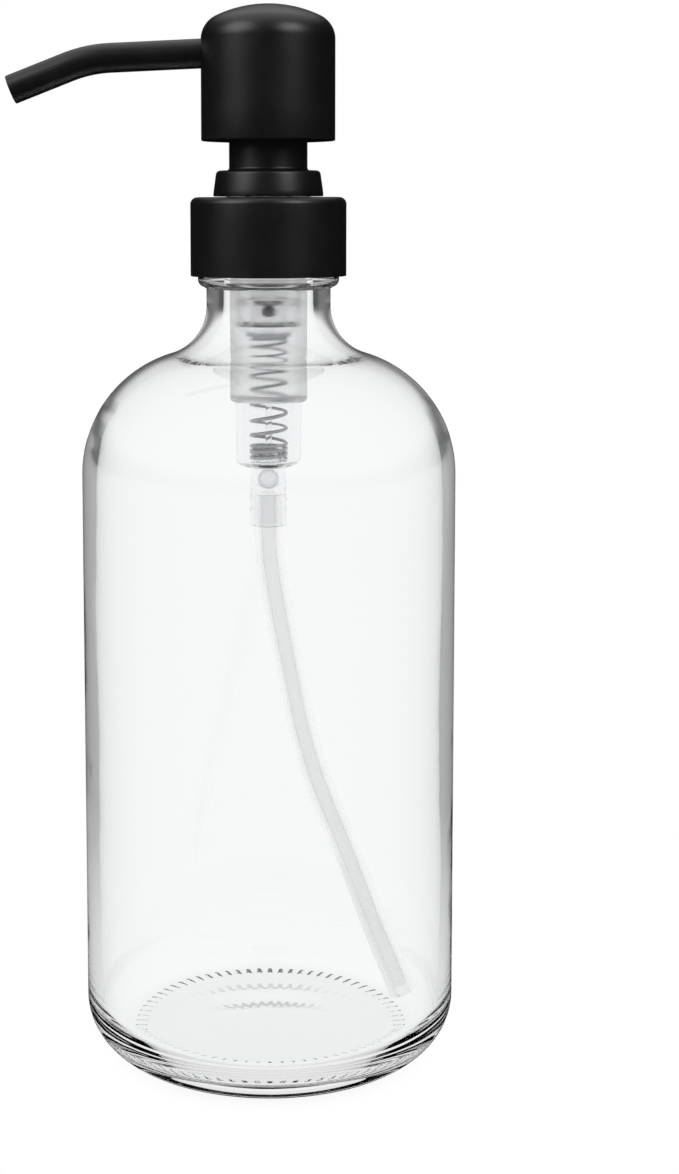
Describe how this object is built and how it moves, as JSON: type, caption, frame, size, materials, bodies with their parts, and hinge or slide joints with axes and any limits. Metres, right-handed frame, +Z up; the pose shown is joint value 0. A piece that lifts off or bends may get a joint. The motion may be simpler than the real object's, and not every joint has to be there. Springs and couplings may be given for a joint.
{
  "type": "soap pump dispenser",
  "caption": "Press-down lotion and soap pump with a long spout, on a round-shouldered clear glass bottle with a screw neck.",
  "frame": {"origin": "on the bottle's axis, in the plane of the ring it stands on", "axes": "+Z up along the bottle's axis; the spout points along -X, and the dip tube leans towards +X"},
  "size_m": [0.0888, 0.0744, 0.2095],
  "materials": {
    "clear_glass": "clear flint glass, polished",
    "black_coated_metal": "satin black coating on drawn metal",
    "black_plastic": "moulded, unseen under the metal covers",
    "natural_plastic": "milky translucent polypropylene and polyethylene",
    "soft_seal": "soft sealing foam and rubber",
    "bright_steel": "bright stainless steel"
  },
  "bodies": {
    "bottle": {"glass_bottle": "clear_glass"},
    "pump_body": {"neck_gasket": "soft_seal", "pump_housing": "natural_plastic", "ball_cage": "natural_plastic", "dip_tube": "natural_plastic", "chaplet_core": "natural_plastic", "chaplet_shell": "black_coated_metal", "stem_seal": "soft_seal"},
    "collar": {"closure_core": "black_plastic", "collar_shell": "black_coated_metal"},
    "return_spring": {"spring": "bright_steel", "spring_washer": "bright_steel"},
    "plunger": {"stem": "natural_plastic", "piston_core": "natural_plastic", "piston_seal": "natural_plastic", "head_core": "black_plastic", "head_shell": "black_coated_metal", "spout_tube": "black_coated_metal", "spout_liner": "natural_plastic"},
    "inlet_valve": {"inlet_ball": "natural_plastic"},
    "outlet_valve": {"outlet_ball": "bright_steel"}
  },
  "joints": [
    {"name": "pump_lift", "type": "slide", "parent": "bottle", "child": "pump_body", "axis": [0, 0, 1], "range_m": [0, 0.00423]},
    {"name": "collar_unscrew", "type": "hinge", "parent": "pump_body", "child": "collar", "pos_m": [0, 0, 0.164], "axis": [0, 0, 1], "range_deg": [0, 360]},
    {"name": "press", "type": "slide", "parent": "pump_body", "child": "return_spring", "axis": [0, 0, -1], "range_m": [0, 0.01], "stiffness_N_per_m": 800, "springref_m": -0.006, "deforming": ["spring"]},
    {"name": "head_swivel", "type": "hinge", "parent": "return_spring", "child": "plunger", "pos_m": [0, 0, 0.19], "axis": [0, 0, 1], "continuous": true},
    {"name": "inlet_lift", "type": "slide", "parent": "pump_body", "child": "inlet_valve", "axis": [0, 0, 1], "range_m": [0, 0.0009]},
    {"name": "outlet_lift", "type": "slide", "parent": "plunger", "child": "outlet_valve", "axis": [0, 0, 1], "range_m": [0, 0.0009]}
  ],
  "couplings": [
    {"joint": "pump_lift", "follows": "collar_unscrew", "m_per_rad": 0.00067323}
  ]
}
